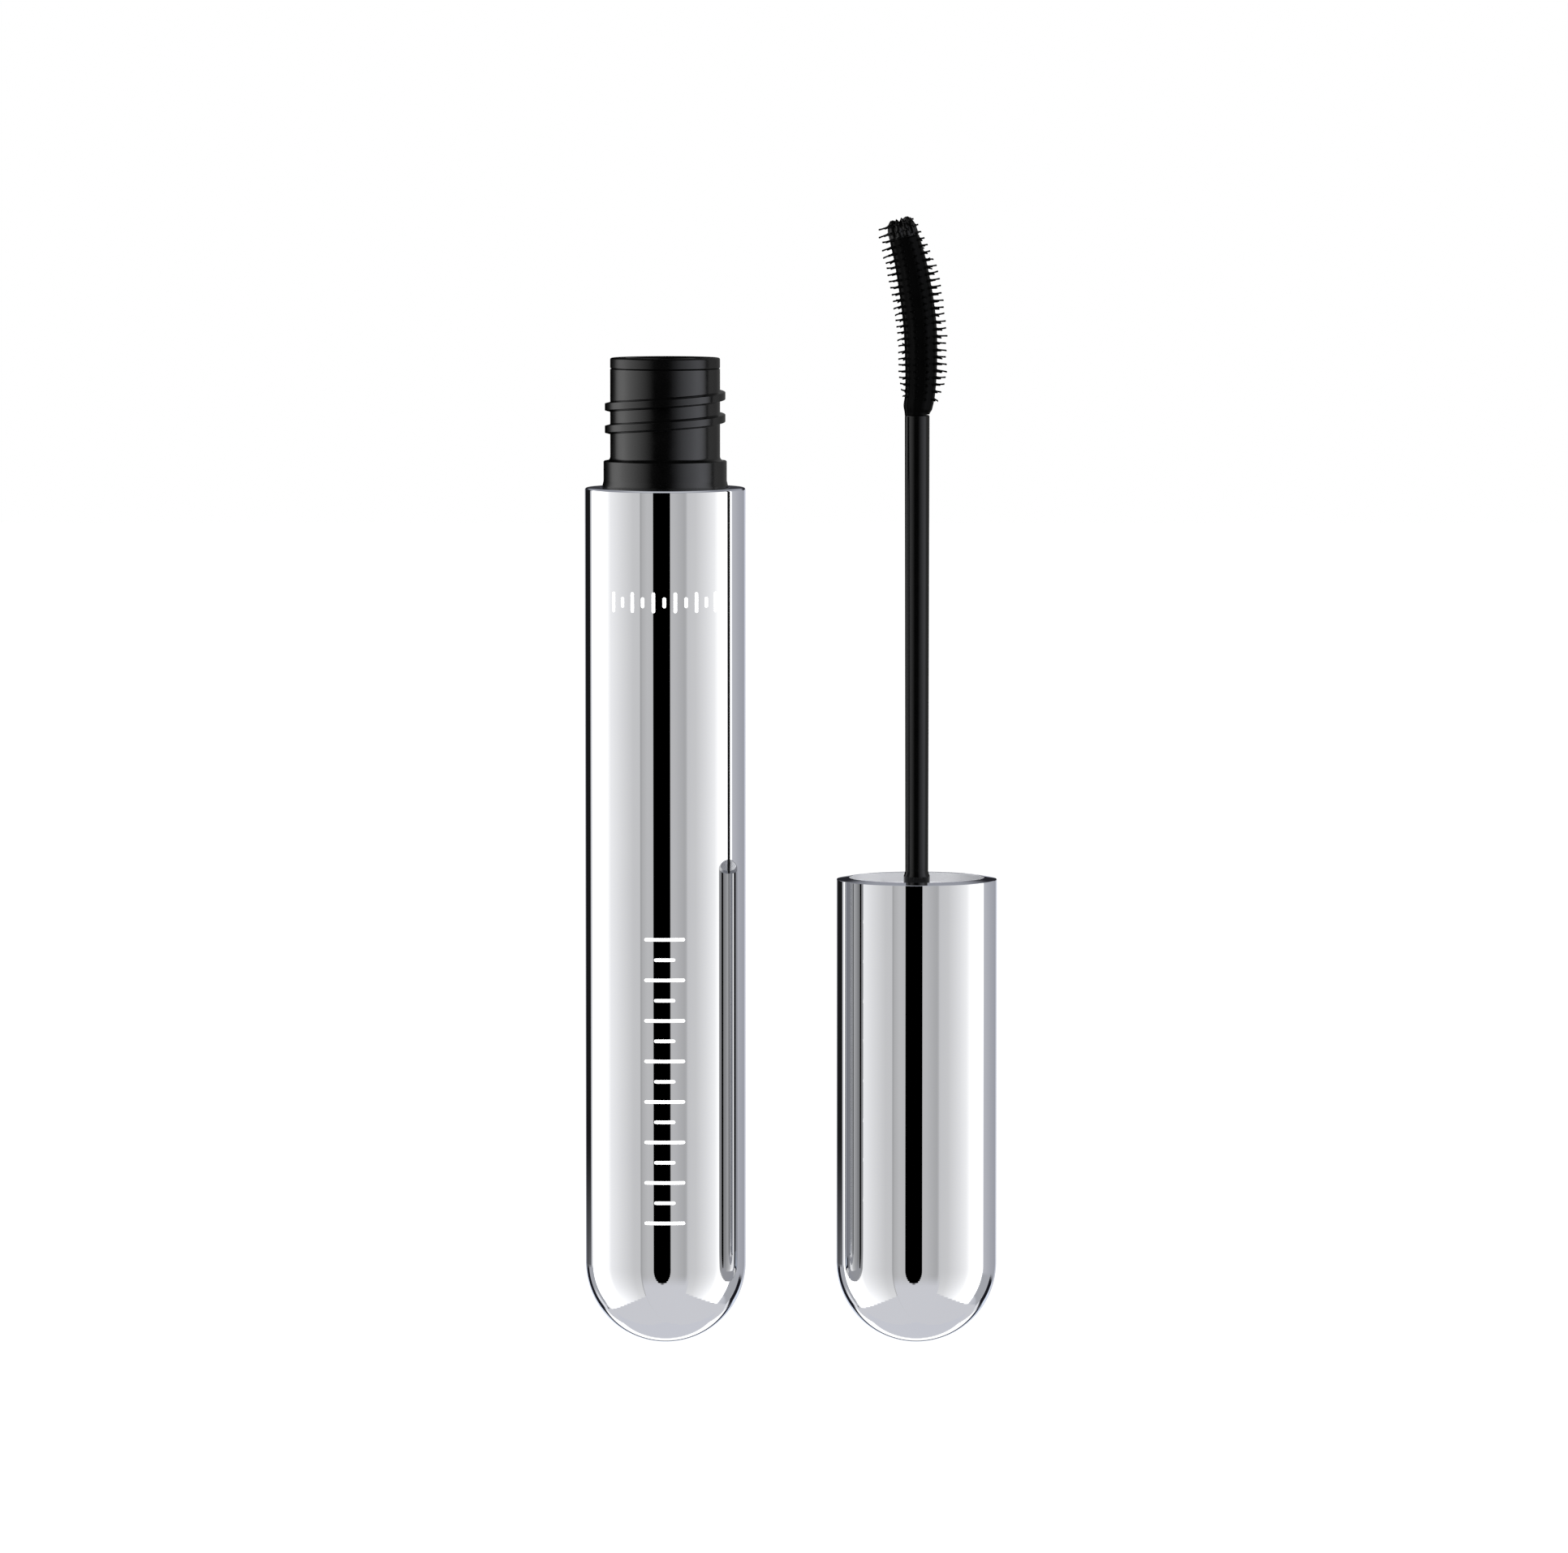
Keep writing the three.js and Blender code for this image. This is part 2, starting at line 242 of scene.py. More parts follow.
def add_camera():
    data = bpy.data.cameras.new("camera")
    camera = bpy.data.objects.new("camera", data)
    bpy.context.scene.collection.objects.link(camera)
    camera.location = (VIEW_CENTRE.x, -CAMERA_DISTANCE, CAMERA_HEIGHT)
    aim = VIEW_CENTRE - camera.location
    camera.rotation_euler = aim.to_track_quat("-Z", "Y").to_euler()
    data.sensor_width = 36
    data.lens = data.sensor_width * aim.length / VIEW_WIDTH
    data.clip_start = 0.01
    data.clip_end = 100
    bpy.context.scene.camera = camera


def degrees(*values):
    return [math.radians(v) for v in values]


# The light that polished metal sees from each direction round the object, as (degrees, level, coolness).
# 0 is the camera's side and +90 is +X.
ROUND_THE_MIRROR = [
    # Behind on the left: a black board
    (-166, 0.4, 1), (-162, 0.01, 1), (-137, 0.01, 1),
    # The left softbox, brightest at its far edge
    (-135, 0.62, 0.5), (-131, 0.7, 0.4), (-129, 1.7, 0), (-100, 1.4, 0), (-91, 1.08, 0), (-85, 0.88, 0.2),
    (-63, 0.71, 0.2), (-46, 0.58, 0.2), (-36.5, 0.57, 0.2),
    # The wall behind the camera, with the black card in its middle
    (-35.2, 0.35, 0.2), (-33, 0.44, 0.2), (-25, 0.51, 0.2), (-17, 0.5, 0.2), (8, 0.5, 0.2), (14, 0.49, 0.3),
    (28, 0.41, 0.3), (30.5, 0.43, 0.3),
    # The right softbox
    (32.5, 0.57, 0.3), (45, 0.6, 0.2), (63, 0.76, 0.2), (76, 0.9, 0.1), (81, 1.04, 0), (96, 1.4, 0),
    (110, 1.6, 0),
    # Behind on the right: a grey wall, lighter towards the back
    (113, 0.5, 1), (134, 0.41, 1.4), (156, 0.36, 1.6), (164, 0.7, 1.6),
]
# The same for satin surfaces, which see the softboxes with soft edges and dark between them.
ROUND_THE_SATIN = [
    (-150, 0, 1), (-132, 0.07, 0), (-114, 1.15, 0), (-97, 1.55, 0), (-60, 0.85, 0), (-38, 0.36, 0),
    (-24, 0, 0), (10, 0, 0), (22, 0.22, 1), (38, 0.66, 1), (72, 1.3, 1), (84, 1.15, 1), (97, 0.4, 0),
    (134, 0.16, 0),
]


def round_the_studio(tree, azimuth, lights):
    """The light from each direction, as a colour."""
    top = 2
    stops = []
    for angle, level, cool in lights:
        tint = (1 - 0.05 * cool, 1 - 0.035 * cool, 1 + 0.035 * cool)
        stops.append(((angle + 180) / 360, tuple(level * t / top for t in tint)))
    share = azimuth / TURN + 0.5
    return scaled(tree, ramp(tree, share.socket, stops), top)


def scaled(tree, colour, factor):
    made = tree.nodes.new("ShaderNodeVectorMath")
    made.operation = "SCALE"
    tree.links.new(colour, made.inputs[0])
    if isinstance(factor, Number):
        tree.links.new(factor.socket, made.inputs["Scale"])
    else:
        made.inputs["Scale"].default_value = factor
    return made.outputs[0]


def covered(tree, colour, cover, share):
    """The colour, with another one over it where share is 1."""
    made = tree.nodes.new("ShaderNodeMix")
    made.data_type = "RGBA"
    tree.links.new(share.socket, made.inputs["Factor"])
    tree.links.new(colour, made.inputs["A"])
    if isinstance(cover, tuple):
        made.inputs["B"].default_value = (*cover, 1)
    else:
        tree.links.new(cover, made.inputs["B"])
    return made.outputs["Result"]


def mirror_studio(tree, azimuth, slope):
    """Tall softboxes on both sides, a black card behind the camera, a pale floor, a dim ceiling, and a
    backdrop with a dark edge."""
    side = azimuth.math("ABSOLUTE")
    edge = math.radians(0.6)
    inner, left, right = degrees(34.5, 130, 112)
    is_left = azimuth.below(0, edge)
    light = round_the_studio(tree, azimuth, ROUND_THE_MIRROR)
    light = scaled(tree, light, slope.below(-0.55, 0.55) * side.above(inner, edge) * 0.28 + 1)

    # The floor begins below the softboxes, further down on the left.
    height = is_left * 0.14 + 0.96
    foot = ((side - math.radians(74)) * 0.85).math("COSINE") * height * -1
    floor = (slope - foot).below(0, 0.02) * side.above(inner, edge)
    floor = floor.math("MAXIMUM", slope.below(-0.4, 0.2) * side.below(inner, edge))
    light = covered(tree, light, (0.6, 0.605, 0.64), floor)

    # The backdrop, seen by the domes: a grey wall with a black edge, light behind it and white at its foot.
    start = slope.below(-0.13, 0.02) * is_left + slope.below(-0.22, 0.03) * (is_left * -1 + 1)
    outer = side.above(right, edge) * (is_left * -1 + 1) + side.above(left, edge) * is_left
    backdrop = outer * start
    grey_low, band, rear, brink, nearer = degrees(138, 154, 162, 149, 8)
    round_side = side + (is_left * -1 + 1) * nearer
    light = covered(tree, light, (0.38, 0.39, 0.42), backdrop * slope.above(-0.6, 0.03))
    lit = backdrop * side.above(grey_low, edge) * slope.above(-0.6, 0.03) * slope.below(-0.36, 0.05)
    light = covered(tree, light, (0.75, 0.76, 0.8), lit)
    black = (round_side - band).math("ABSOLUTE").below(math.radians(7.5), edge) * slope.above(-0.5, 0.03)
    light = covered(tree, light, (0.01, 0.01, 0.015), backdrop * black)
    behind = backdrop * round_side.above(rear, edge)
    light = covered(tree, light, (0.68, 0.74, 0.86), behind)
    line = behind * slope.above(-0.5, 0.02) * slope.below(-0.37, 0.02)
    light = covered(tree, light, (0.01, 0.012, 0.03), line)
    light = covered(tree, light, (1.15, 1.15, 1.15), side.above(brink, edge) * slope.below(-0.5, 0.02))
    light = covered(tree, light, (0.58, 0.59, 0.64), side.above(left, edge) * slope.below(-0.86, 0.02))

    # The dark end of the room above the backdrop, seen by the shoulder and the rims, and the ceiling
    far = math.radians(150)
    light = covered(tree, light, (0.02, 0.02, 0.025), slope.above(0.03, 0.02) * side.above(far, edge))
    light = covered(tree, light, (0.30, 0.31, 0.35), slope.above(0.27, 0.08))
    bright = slope.above(0.9, 0.1) * slope.below(2.5, 0.5) * side.below(1.4, 0.3)
    light = covered(tree, light, (0.66, 0.68, 0.71), bright)

    # The black card, with a pointed foot
    middle, half = degrees(-4.6, 12.2)
    across = (azimuth - middle) / half
    down = (slope * -1 - 0.1).math("MAXIMUM", 0) / 0.38
    card = (across * across + down * down).below(1, 0.06) * slope.below(0.3, 0.05)
    return covered(tree, light, (0, 0, 0), card)


def satin_studio(tree, azimuth, slope):
    light = round_the_studio(tree, azimuth, ROUND_THE_SATIN)
    return scaled(tree, light, slope.below(0.8, 0.4) * slope.above(-0.8, 0.4))


def add_world():
    """The studio. Perfect mirrors see its hard-edged side, and everything duller its soft one."""
    world = bpy.data.worlds.new("studio")
    bpy.context.scene.world = world
    world.use_nodes = True
    tree = world.node_tree
    tree.nodes.clear()
    place = tree.nodes.new("ShaderNodeTexCoord")
    split = tree.nodes.new("ShaderNodeSeparateXYZ")
    tree.links.new(place.outputs["Generated"], split.inputs[0])
    x, y, z = (Number(tree, split.outputs[i]) for i in range(3))
    azimuth = x.math("ARCTAN2", y * -1)
    slope = z / (x * x + y * y).math("SQRT").math("MAXIMUM", 0.001)

    seen = tree.nodes.new("ShaderNodeLightPath")
    mirror = mirror_studio(tree, azimuth, slope)
    bounces = Number(tree, seen.outputs["Glossy Depth"])
    mirror = scaled(tree, mirror, bounces.above(1.5, 0.1) * -0.48 + 1)
    perfect = Number(tree, seen.outputs["Is Singular Ray"])
    light = covered(tree, satin_studio(tree, azimuth, slope), mirror, perfect)

    studio = tree.nodes.new("ShaderNodeBackground")
    plain = tree.nodes.new("ShaderNodeBackground")
    plain.inputs["Color"].default_value = (1, 1, 1, 1)
    mix = tree.nodes.new("ShaderNodeMixShader")
    out = tree.nodes.new("ShaderNodeOutputWorld")
    tree.links.new(light, studio.inputs["Color"])
    tree.links.new(seen.outputs["Is Camera Ray"], mix.inputs[0])
    tree.links.new(studio.outputs[0], mix.inputs[1])
    tree.links.new(plain.outputs[0], mix.inputs[2])
    tree.links.new(mix.outputs[0], out.inputs["Surface"])


def add_soft_light():
    """A large soft light above the camera, for the surfaces that scatter light. The metal sees the world."""
    data = bpy.data.lights.new("soft_light", "AREA")
    data.size = 1.5
    data.energy = 60
    light = bpy.data.objects.new("soft_light", data)
    bpy.context.scene.collection.objects.link(light)
    light.location = SOFT_LIGHT_AT
    light.rotation_euler = (VIEW_CENTRE - light.location).to_track_quat("-Z", "Y").to_euler()
    light.visible_glossy = False


def add_floor():
    """A plain pale floor. Both ends of the object are round, so it hangs clear of the floor, with room for
    the draw joint, which takes the cap down beside the tube. Polished metal sees the studio's floor."""
    reach = FLOOR_REACH
    draw = next(joint for joint in frame["record"]["behaviour"]["joints"] if joint["name"] == "draw")
    depth = -(draw["range_m"][1] + FLOOR_CLEARANCE)
    corners = [(-reach, -reach, depth), (reach, -reach, depth), (reach, reach, depth), (-reach, reach, depth)]
    floor = new_mesh("floor", corners, [(0, 1, 2, 3)])
    material, shader, tree = new_material("floor_white")
    shader.inputs["Base Color"].default_value = (0.3, 0.3, 0.3, 1)
    shader.inputs["Roughness"].default_value = 1
    shader.inputs["Specular IOR Level"].default_value = 0
    shader.inputs["Emission Color"].default_value = (1, 1, 1, 1)
    shader.inputs["Emission Strength"].default_value = 0.97
    floor.data.materials.append(material)
    floor.visible_glossy = False


# ---- Materials ----
def new_material(name):
    material = bpy.data.materials.new(name)
    material.use_nodes = True
    tree = material.node_tree
    return material, tree.nodes["Principled BSDF"], tree


def noise(tree, per_mm, detail=4, stretch=(1, 1, 1)):
    """Noise in the object's own space, with about per_mm features in a millimetre."""
    place = tree.nodes.new("ShaderNodeTexCoord")
    mapping = tree.nodes.new("ShaderNodeMapping")
    mapping.inputs["Scale"].default_value = [s / MM for s in stretch]
    made = tree.nodes.new("ShaderNodeTexNoise")
    made.inputs["Scale"].default_value = per_mm
    made.inputs["Detail"].default_value = detail
    tree.links.new(place.outputs["Object"], mapping.inputs["Vector"])
    tree.links.new(mapping.outputs["Vector"], made.inputs["Vector"])
    return made.outputs["Fac"]


def ramp(tree, source, stops):
    """A colour ramp from (position, grey or colour) stops."""
    made = tree.nodes.new("ShaderNodeValToRGB")
    marks = made.color_ramp.elements
    while len(marks) < len(stops):
        marks.new(0.5)
    for mark, (position, value) in zip(marks, stops):
        mark.position = position
        mark.color = (*value, 1) if isinstance(value, tuple) else (value, value, value, 1)
    tree.links.new(source, made.inputs["Fac"])
    return made.outputs["Color"]


def bump(tree, shader, height, distance_mm, strength=1.0):
    made = tree.nodes.new("ShaderNodeBump")
    made.inputs["Distance"].default_value = distance_mm * MM
    made.inputs["Strength"].default_value = strength
    tree.links.new(height, made.inputs["Height"])
    tree.links.new(made.outputs["Normal"], shader.inputs["Normal"])


def chrome():
    """Vacuum-metallised plastic: a mirror, uneven by a hair in its tone, gloss and flatness."""
    material, shader, tree = new_material("mirror_chrome")
    shader.inputs["Metallic"].default_value = 1
    tone = ramp(tree, noise(tree, 0.06, 2), [(0.3, (0.925, 0.93, 0.945)), (0.7, (0.945, 0.95, 0.962))])
    tree.links.new(tone, shader.inputs["Base Color"])
    smudge = ramp(tree, noise(tree, 0.22, 5), [(0.4, 0.0), (0.8, 0.003)])
    tree.links.new(smudge, shader.inputs["Roughness"])
    bump(tree, shader, noise(tree, 0.12, 2), 0.0004, 0.5)
    return material


def moulded_black(name, tone, rough, grain_mm, specular):
    """Satin black moulded plastic with a fine mould grain and slightly uneven gloss."""
    material, shader, tree = new_material(name)
    shades = ramp(tree, noise(tree, 0.5, 4), [(0.3, tone * 0.8), (0.7, tone * 1.25)])
    tree.links.new(shades, shader.inputs["Base Color"])
    gloss = ramp(tree, noise(tree, 0.9, 5), [(0.3, rough * 0.86), (0.7, rough * 1.16)])
    tree.links.new(gloss, shader.inputs["Roughness"])
    shader.inputs["Specular IOR Level"].default_value = specular
    bump(tree, shader, noise(tree, 9, 3), grain_mm, 0.5)
    return material


def bare_plastic_painted_glow():
    """The unplated inside of the cap's shell: pale grey satin plastic, with a faint bluish painted glow that
    brightens it as if it were lit.
    """
    material, shader, tree = new_material("bare_plastic_painted_glow")
    shades = ramp(tree, noise(tree, 0.7), [(0.3, (0.86, 0.865, 0.88)), (0.7, (0.92, 0.925, 0.94))])
    tree.links.new(shades, shader.inputs["Base Color"])
    # Painted light: a faint bluish glow that lightens the inside of the cap in place of real light
    shader.inputs["Emission Color"].default_value = (0.9, 0.92, 1, 1)
    shader.inputs["Emission Strength"].default_value = 0.14
    rough = ramp(tree, noise(tree, 2), [(0.3, 0.4), (0.7, 0.5)])
    tree.links.new(rough, shader.inputs["Roughness"])
    bump(tree, shader, noise(tree, 9, 3), 0.002)
    return material


def paste():
    """Wet black mascara: deep black, glossy and lumpy."""
    material, shader, tree = new_material("mascara_paste")
    shades = ramp(tree, noise(tree, 1.5), [(0.3, 0.002), (0.7, 0.008)])
    tree.links.new(shades, shader.inputs["Base Color"])
    gloss = ramp(tree, noise(tree, 2.5), [(0.3, 0.12), (0.7, 0.3)])
    tree.links.new(gloss, shader.inputs["Roughness"])
    bump(tree, shader, noise(tree, 1.8, 5), 0.08)
    return material


def seal_foam():
    """Soft off-white sealing ring with a slight mottle."""
    material, shader, tree = new_material("seal_foam")
    shades = ramp(tree, noise(tree, 2.5), [(0.3, (0.72, 0.71, 0.67)), (0.7, (0.84, 0.83, 0.8))])
    tree.links.new(shades, shader.inputs["Base Color"])
    rough = ramp(tree, noise(tree, 4), [(0.3, 0.55), (0.7, 0.75)])
    tree.links.new(rough, shader.inputs["Roughness"])
    bump(tree, shader, noise(tree, 12), 0.01)
    return material


def turned_steel():
    """Turned steel with fine circular tool marks."""
    material, shader, tree = new_material("turned_steel")
    shader.inputs["Metallic"].default_value = 1
    shades = ramp(tree, noise(tree, 0.8), [(0.3, (0.5, 0.5, 0.52)), (0.7, (0.62, 0.62, 0.64))])
    tree.links.new(shades, shader.inputs["Base Color"])
    marks = noise(tree, 6, 2, (0.05, 0.05, 1))
    rough = ramp(tree, marks, [(0.3, 0.25), (0.7, 0.4)])
    tree.links.new(rough, shader.inputs["Roughness"])
    bump(tree, shader, marks, 0.01)
    return material


def white_ink_painted_glow():
    """Screen-printed white ink, slightly uneven in cover, with a faint painted glow that keeps it white as if
    brightly lit.
    """
    material, shader, tree = new_material("white_ink_painted_glow")
    cover = ramp(tree, noise(tree, 3), [(0.3, (0.86, 0.86, 0.87)), (0.7, (0.95, 0.95, 0.95))])
    tree.links.new(cover, shader.inputs["Base Color"])
    rough = ramp(tree, noise(tree, 6), [(0.3, 0.45), (0.7, 0.6)])
    tree.links.new(rough, shader.inputs["Roughness"])
    # Painted light: a faint glow that brightens the ink as light would
    shader.inputs["Emission Color"].default_value = (1, 1, 1, 1)
    shader.inputs["Emission Strength"].default_value = 0.25
    bump(tree, shader, noise(tree, 14), 0.004)
    return material


# ---- The tube ----
def finished(piece, material, body, slot, *nodes):
    """Gives a piece its material and its body, and hides the CAD nodes that it stands for. Its slot is not
    used.
    """
    piece.data.materials.append(material)
    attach(piece, body)
    if nodes:
        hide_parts(*nodes)
    return piece


def tube_shell():
    inner = BODY_R - SHELL_WALL
    hole = COLLAR_R + 0.22 * MM
    outline = rounded([
        (0, 0),
        (BODY_R, 0, BODY_R),
        (BODY_R, SHOULDER, 0.28 * MM),
        (hole, SHOULDER, 0.12 * MM),
        (hole, SHOULDER - SHELL_WALL, 0.1 * MM),
        (inner, SHOULDER - SHELL_WALL, 0.2 * MM),
        (inner, SHELL_WALL, inner),
        (0, SHELL_WALL),
    ])
    return lathe("chrome_tube", outline, TUBE_X, 256)


def thread_profile(offset):
    """Height of the neck's thread at a distance from its middle: a ridge with sloping flanks."""
    crest, root = 0.38 * MM, 0.58 * MM
    return THREAD_DEPTH * (1 - smooth(abs(offset), crest, root))


def threaded_neck(radius, height, angle):
    """Raises the right-handed thread on the neck's wall."""
    if abs(radius - NECK_R) > 0.001 * MM or not COLLAR_TOP < height < NECK_TOP - FLANGE_HEIGHT:
        return radius
    raised = 0
    for turns in range(4):
        t = angle + turns * TURN
        if not THREAD_FROM <= t <= THREAD_TO:
            continue
        middle = SHOULDER + THREAD_HEIGHT + PITCH * (t - math.pi) / TURN
        fade = min(smooth(t, THREAD_FROM, THREAD_FROM + 0.35), smooth(-t, -THREAD_TO, -THREAD_TO + 0.35))
        raised = max(raised, thread_profile(height - middle) * fade)
    return radius + raised


def bottle():
    inner = BOTTLE_R - BOTTLE_WALL
    shoulder = SHOULDER - SHELL_WALL - SEAT_GAP
    rim = NECK_TOP - FLANGE_HEIGHT - 0.02 * MM
    low = BOTTLE_LOW.z
    lower = rounded([
        (0, low),
        (BOTTLE_R, low, BOTTLE_R),
        (BOTTLE_R, shoulder, 0.3 * MM),
        (COLLAR_R + 0.12 * MM, shoulder, 0.05 * MM),
        (COLLAR_R + 0.12 * MM, SHOULDER + 0.25 * MM, 0.2 * MM),
        (COLLAR_R, SHOULDER + 0.75 * MM, 0.4 * MM),
        (COLLAR_R, COLLAR_TOP, 0.14 * MM),
        (NECK_R, COLLAR_TOP, 0.45 * MM),
        (NECK_R, COLLAR_TOP + 0.5 * MM),
    ])
    wall = stepped(NECK_R, COLLAR_TOP + 0.5 * MM, rim - 0.5 * MM, 0.05 * MM)
    upper = rounded([
        (NECK_R, rim - 0.5 * MM),
        (NECK_R, rim, 0.1 * MM),
        (NECK_BORE_R, rim, 0.1 * MM),
        (NECK_BORE_R, shoulder - BOTTLE_WALL, 0.3 * MM),
        (inner, shoulder - 2 * BOTTLE_WALL, 0.5 * MM),
        (inner, low + BOTTLE_WALL, inner),
        (0, low + BOTTLE_WALL),
    ])
    return lathe("threaded_bottle", [*lower, *wall, *upper], TUBE_X, 256, radius_at=threaded_neck)


def wiper():
    skirt = NECK_BORE_R - 0.1 * MM
    wall = 0.7 * MM
    lip_low, lip_top = WIPER_LOW.z, WIPER_LOW.z + 3.1 * MM
    flange = NECK_TOP - FLANGE_HEIGHT
    outline = rounded([
        (LIP_R, lip_low, 0.12 * MM),
        (LIP_R + wall, lip_low, 0.15 * MM),
        (skirt, lip_top, 0.5 * MM),
        (skirt, flange + 0.02 * MM, 0.05 * MM),
        (NECK_R, flange + 0.02 * MM, 0.12 * MM),
        (NECK_R, NECK_TOP, 0.2 * MM),
        (skirt - wall, NECK_TOP, 0.35 * MM),
        (skirt - wall, lip_top + wall, 0.6 * MM),
        (LIP_R, lip_low + wall, 0.15 * MM),
    ], loop=True)
    return lathe("wiper_ring", outline, TUBE_X, 192, loop=True)


def mixing_ball():
    middle = (BALL_LOW.z + BALL_HIGH.z) / 2
    radius = (BALL_HIGH.z - BALL_LOW.z) / 2
    steps = 48
    outline = []
    for k in range(steps + 1):
        angle = math.pi * k / steps - math.pi / 2
        across = radius * math.cos(angle)
        outline.append((0 if k in (0, steps) else across, middle + radius * math.sin(angle)))
    return lathe("coated_ball", outline, TUBE_X, 64)


# ---- Plain printed marks, in place of lettering ----
INK = 0.03 * MM
PRINT_FACES = -TURN / 4       # the print is on the -Y side


def ink_patch(middle, low, high, half_width):
    """The vertices and faces of one printed bar with rounded corners, wrapped on the tube."""
    round_r = 0.95 * min(half_width, (high - low) / 2)
    columns = max(8, round(2 * half_width / (0.25 * MM)))
    vertices, faces = [], []
    for k in range(columns + 1):
        across = -half_width * math.cos(math.pi * k / columns)
        past = max(0, abs(across) - (half_width - round_r))
        inset = round_r - math.sqrt(max(0, round_r**2 - past**2))
        angle = PRINT_FACES + middle + across / BODY_R
        for radius, z in (
            (BODY_R + INK / 2, low + inset), (BODY_R + INK / 2, high - inset),
            (BODY_R - INK, high - inset), (BODY_R - INK, low + inset),
        ):
            vertices.append((TUBE_X + radius * math.cos(angle), radius * math.sin(angle), z))
    for k in range(columns):
        for side in range(4):
            a, b = 4 * k + side, 4 * k + (side + 1) % 4
            faces.append([a, a + 4, b + 4, b])
    faces.append([0, 1, 2, 3])
    last = 4 * columns
    faces.append([last + 3, last + 2, last + 1, last])
    return vertices, faces


def printed_marks(name, patches):
    vertices, faces = [], []
    for patch in patches:
        first = len(vertices)
        new_vertices, new_faces = ink_patch(*patch)
        vertices += new_vertices
        faces += [[first + i for i in face] for face in new_faces]
    piece = new_mesh(name, vertices, faces)
    piece.data.shade_flat()
    return piece


def upper_ticks():
    """A row of upright strokes, long and short in turn, where the product word would be."""
    count, spread = 11, 1.36
    centre = SHOULDER - 12.45 * MM
    patches = []
    for k in range(count):
        middle = spread * (k / (count - 1) - 0.5)
        half_height = (1.15 if k % 2 == 0 else 0.6) * MM
        patches.append((middle, centre - half_height, centre + half_height, 0.2 * MM))
    return printed_marks("printed_ticks", patches)


def lower_bars():
    """A plain ladder of long and short bars up the front."""
    count, pitch = 15, 2.27 * MM
    start = 14.2 * MM
    patches = []
    for k in range(count):
        half = 2.3 * MM if k % 2 == 0 else 1.2 * MM
        z = start + k * pitch
        patches.append((0, z, z + 0.38 * MM, half))
    return printed_marks("printed_bars", patches)


# ---- The cap ----
def cap_shell():
    """The plated shell. Its rim is bevelled, rising inwards to a lip, and its inside is bare plastic."""
    inner = BODY_R - SHELL_WALL
    rim_low, lip, lip_r = MOUTH + 0.02 * MM, MOUTH + 0.24 * MM, inner - 0.45 * MM
    outline = rounded([
        (0, 0),
        (BODY_R, 0, BODY_R),
        (BODY_R, rim_low, 0.06 * MM),
        (lip_r, lip, 0.05 * MM),
        (inner, lip - 1.2 * MM, 0.2 * MM),
        (inner, SHELL_WALL, inner),
        (0, SHELL_WALL),
    ])
    shell = lathe("chrome_cap", outline, CAP_X, 256)
    middle = Vector((CAP_X, 0, BODY_R))
    for face in shell.data.polygons:
        reach = face.center - middle
        if face.center.z > BODY_R:
            reach.z = 0
        plated = reach.length > inner + 0.02 * MM or face.center.z > lip - 0.08 * MM
        face.material_index = 0 if plated else 1
    return shell


def threaded_bore(radius, height, angle):
    """Raises the matching right-handed ridge inside the liner's bore."""
    if abs(radius - LINER_BORE_R) > 0.001 * MM or not LINER_FLOOR < height < LINER_HIGH.z:
        return radius
    raised = 0
    start, end = RIDGE_FROM, RIDGE_TO
    for turns in range(-3, 2):
        t = angle + turns * TURN
        if not start <= t <= end:
            continue
        middle = RIDGE_HEIGHT + PITCH * t / TURN
        fade = min(smooth(t, start, start + 0.35), smooth(-t, -end, -end + 0.35))
        shape = 1 - smooth(abs(height - middle), 0.25 * MM, 0.4 * MM)
        raised = max(raised, THREAD_DEPTH * shape * fade)
    return radius - raised


# The ridge in the liner, as it lies in the cap at rest. Screwed home, it is half a pitch from the thread.
SCREW_TRAVEL = 1.5 * PITCH
RIDGE_FROM = TURN / 2 - 2.2 * TURN
RIDGE_TO = TURN / 2 - 1.25 * TURN
CLOSED_END = SHOULDER + SEAT_GAP + MOUTH
RIDGE_HEIGHT = SCREW_TRAVEL + CLOSED_END - (SHOULDER + THREAD_HEIGHT) - PITCH / 2


def cap_liner():
    web, boss, pocket = 2 * MM, 3.2 * MM, 6.4 * MM
    socket = LINER_FLOOR - 8 * MM
    socket_r = STEM_R + 0.1 * MM
    top = LINER_HIGH.z
    lower = rounded([
        (0, socket - 1.2 * MM),
        (boss, socket - 1.2 * MM, 0.3 * MM),
        (boss, LINER_FLOOR - web, 0.4 * MM),
        (pocket, LINER_FLOOR - web, 0.4 * MM),
        (pocket, LINER_LOW.z, 0.3 * MM),
        (LINER_R, LINER_LOW.z, 0.3 * MM),
        (LINER_R, top, 0.3 * MM),
        (LINER_BORE_R + 0.3 * MM, top, 0.1 * MM),
        (LINER_BORE_R, top - 0.3 * MM, 0.1 * MM),
        (LINER_BORE_R, top - 0.6 * MM),
    ])
    wall = stepped(LINER_BORE_R, top - 0.6 * MM, LINER_FLOOR + 0.6 * MM, 0.05 * MM)
    upper = rounded([
        (LINER_BORE_R, LINER_FLOOR + 0.6 * MM),
        (LINER_BORE_R, LINER_FLOOR, 0.2 * MM),
        (socket_r, LINER_FLOOR, 0.05 * MM),
        (socket_r, socket, 0.1 * MM),
        (0, socket),
    ])
    return lathe("threaded_liner", [*lower, *wall, *upper], CAP_X, 192, radius_at=threaded_bore)


def cap_seal():
    outline = rounded([
        (STEM_R + 0.1 * MM, SEAL_LOW.z, 0.15 * MM),
        (NECK_R, SEAL_LOW.z, 0.2 * MM),
        (NECK_R, SEAL_HIGH.z, 0.3 * MM),
        (STEM_R + 0.1 * MM, SEAL_HIGH.z, 0.15 * MM),
    ], loop=True)
    return lathe("foam_seal", outline, CAP_X, 128, loop=True)


